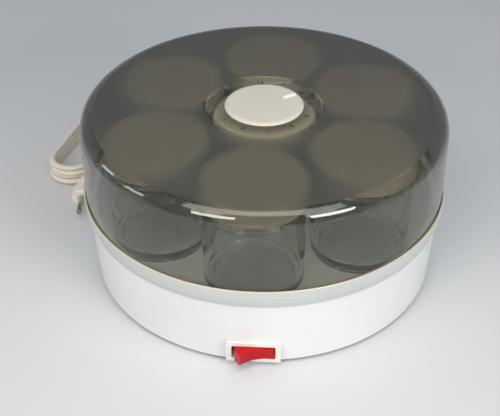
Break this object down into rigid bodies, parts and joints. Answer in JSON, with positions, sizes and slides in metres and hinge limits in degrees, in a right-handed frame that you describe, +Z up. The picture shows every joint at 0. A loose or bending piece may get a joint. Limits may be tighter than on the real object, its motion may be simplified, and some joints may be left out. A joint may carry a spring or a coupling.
{
  "type": "yogurt maker",
  "caption": "Round electric yogurt maker: white heated base, clear smoked lid with a reminder dial, glass jars with caps, rocker switch and flat mains cord.",
  "frame": {"origin": "middle of the base on the surface it stands on", "axes": "+Z up through the lid and the dial; -Y towards the switch"},
  "size_m": [0.2994, 0.3088, 0.1272],
  "materials": {
    "white_shell": "smooth moulded",
    "tray_white": "smooth moulded",
    "grey_plate": "fine moulded texture",
    "rubber": "matte",
    "zinc": "zinc plated",
    "aluminium": "rolled sheet",
    "heater_foil": "foil",
    "felt": "felted",
    "bakelite": "pressed",
    "ceramic_white": "matte",
    "cord_white": "soft PVC",
    "plug_white": "moulded PVC",
    "sleeve_grey": "smooth",
    "nickel": "nickel plated",
    "switch_cream": "smooth moulded",
    "rocker_red": "glossy",
    "smoked": "clear smoked",
    "clear": "clear",
    "knob_cream": "smooth moulded",
    "jar_glass": "clear",
    "cap_cream": "soft moulded"
  },
  "bodies": {
    "base": {"base_housing": "white_shell", "jar_tray": "tray_white", "bottom_plate": "grey_plate", "feet": "rubber", "base_screws": "zinc", "heat_plate": "aluminium", "heater_element": "heater_foil", "insulating_felt": "felt", "heater_retainer": "aluminium", "retainer_screws": "zinc", "thermostat": "bakelite", "thermostat_strap": "zinc", "thermal_fuse": "ceramic_white", "terminal_block": "ceramic_white", "cord_clamp": "cord_white", "clamp_screws": "zinc", "inner_leads": "cord_white", "strain_relief": "cord_white", "cord_lead": "cord_white", "cord_hank": "cord_white", "cord_tail": "cord_white", "plug_body": "plug_white", "plug_sleeves": "sleeve_grey", "plug_pins": "nickel", "switch_body": "switch_cream", "switch_terminals": "nickel", "rocker_pin": "zinc"},
    "lid": {"lid_shell": "smoked", "scale_disc": "clear"},
    "dial": {"knob": "knob_cream", "knob_clip": "zinc"},
    "rocker": {"rocker": "rocker_red"},
    "jar_1": {"jar_1": "jar_glass"},
    "cap_1": {"cap_1": "cap_cream"},
    "jar_2": {"jar_2": "jar_glass"},
    "cap_2": {"cap_2": "cap_cream"},
    "jar_3": {"jar_3": "jar_glass"},
    "cap_3": {"cap_3": "cap_cream"},
    "jar_4": {"jar_4": "jar_glass"},
    "cap_4": {"cap_4": "cap_cream"},
    "jar_5": {"jar_5": "jar_glass"},
    "cap_5": {"cap_5": "cap_cream"},
    "jar_6": {"jar_6": "jar_glass"},
    "cap_6": {"cap_6": "cap_cream"},
    "jar_7": {"jar_7": "jar_glass"},
    "cap_7": {"cap_7": "cap_cream"}
  },
  "joints": [
    {"name": "lid_lift", "type": "slide", "parent": "base", "child": "lid", "axis": [0, 0, 1], "range_m": [0, 0.15]},
    {"name": "dial_turn", "type": "hinge", "parent": "lid", "child": "dial", "pos_m": [0, 0, 0.12], "axis": [0, 0, 1], "continuous": true},
    {"name": "rocker_tilt", "type": "hinge", "parent": "base", "child": "rocker", "pos_m": [-0.00626, -0.11938, 0.012], "axis": [0, 0, -1], "range_deg": [0, 36]},
    {"name": "jar_1_turn", "type": "hinge", "parent": "base", "child": "jar_1", "pos_m": [0, 0, 0.05], "axis": [0, 0, 1], "continuous": true},
    {"name": "cap_1_turn", "type": "hinge", "parent": "jar_1", "child": "cap_1", "pos_m": [0, 0, 0.11], "axis": [0, 0, 1], "continuous": true},
    {"name": "jar_2_turn", "type": "hinge", "parent": "base", "child": "jar_2", "pos_m": [0.06413, -0.0444, 0.05], "axis": [0, 0, 1], "continuous": true},
    {"name": "cap_2_turn", "type": "hinge", "parent": "jar_2", "child": "cap_2", "pos_m": [0.06413, -0.0444, 0.11], "axis": [0, 0, 1], "continuous": true},
    {"name": "jar_3_turn", "type": "hinge", "parent": "base", "child": "jar_3", "pos_m": [0.07052, 0.03333, 0.05], "axis": [0, 0, 1], "continuous": true},
    {"name": "cap_3_turn", "type": "hinge", "parent": "jar_3", "child": "cap_3", "pos_m": [0.07052, 0.03333, 0.11], "axis": [0, 0, 1], "continuous": true},
    {"name": "jar_4_turn", "type": "hinge", "parent": "base", "child": "jar_4", "pos_m": [0.00639, 0.07774, 0.05], "axis": [0, 0, 1], "continuous": true},
    {"name": "cap_4_turn", "type": "hinge", "parent": "jar_4", "child": "cap_4", "pos_m": [0.00639, 0.07774, 0.11], "axis": [0, 0, 1], "continuous": true},
    {"name": "jar_5_turn", "type": "hinge", "parent": "base", "child": "jar_5", "pos_m": [-0.06413, 0.0444, 0.05], "axis": [0, 0, 1], "continuous": true},
    {"name": "cap_5_turn", "type": "hinge", "parent": "jar_5", "child": "cap_5", "pos_m": [-0.06413, 0.0444, 0.11], "axis": [0, 0, 1], "continuous": true},
    {"name": "jar_6_turn", "type": "hinge", "parent": "base", "child": "jar_6", "pos_m": [-0.07052, -0.03333, 0.05], "axis": [0, 0, 1], "continuous": true},
    {"name": "cap_6_turn", "type": "hinge", "parent": "jar_6", "child": "cap_6", "pos_m": [-0.07052, -0.03333, 0.11], "axis": [0, 0, 1], "continuous": true},
    {"name": "jar_7_turn", "type": "hinge", "parent": "base", "child": "jar_7", "pos_m": [-0.00639, -0.07774, 0.05], "axis": [0, 0, 1], "continuous": true},
    {"name": "cap_7_turn", "type": "hinge", "parent": "jar_7", "child": "cap_7", "pos_m": [-0.00639, -0.07774, 0.11], "axis": [0, 0, 1], "continuous": true}
  ]
}
